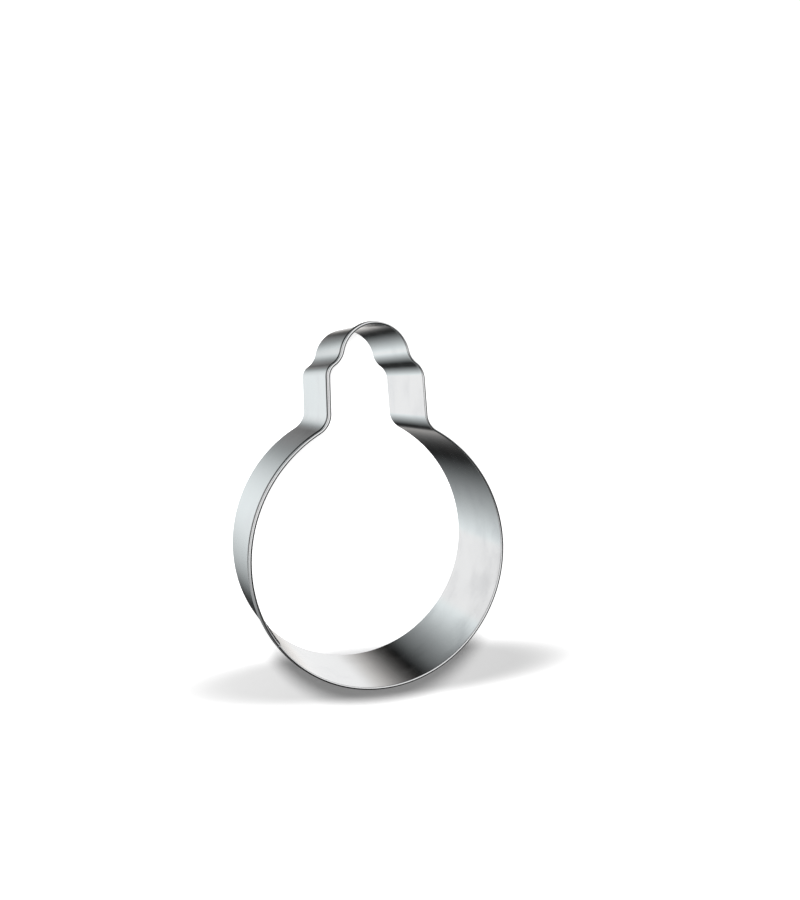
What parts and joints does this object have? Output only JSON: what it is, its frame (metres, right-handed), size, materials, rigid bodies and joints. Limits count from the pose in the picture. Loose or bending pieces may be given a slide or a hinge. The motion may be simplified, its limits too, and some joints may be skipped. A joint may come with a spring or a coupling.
{
  "type": "light bulb cookie cutter",
  "caption": "Cookie cutter of thin stainless strip, hemmed along its grip edge and bent into a round light bulb with a short neck and a stepped, domed cap.",
  "frame": {"origin": "on the plane of the cutting edge, under the middle of the outline's length and width", "axes": "+Z from the cutting edge up to the hem, +Y from the round bulb towards the domed cap, +X to the right of both; the cutter lies on its cutting edge"},
  "size_m": [0.0658, 0.09, 0.0254],
  "materials": {
    "steel": "bright rolled stainless steel, lightly polished"
  },
  "bodies": {
    "root": {"cutter_strip": "steel"}
  },
  "joints": []
}
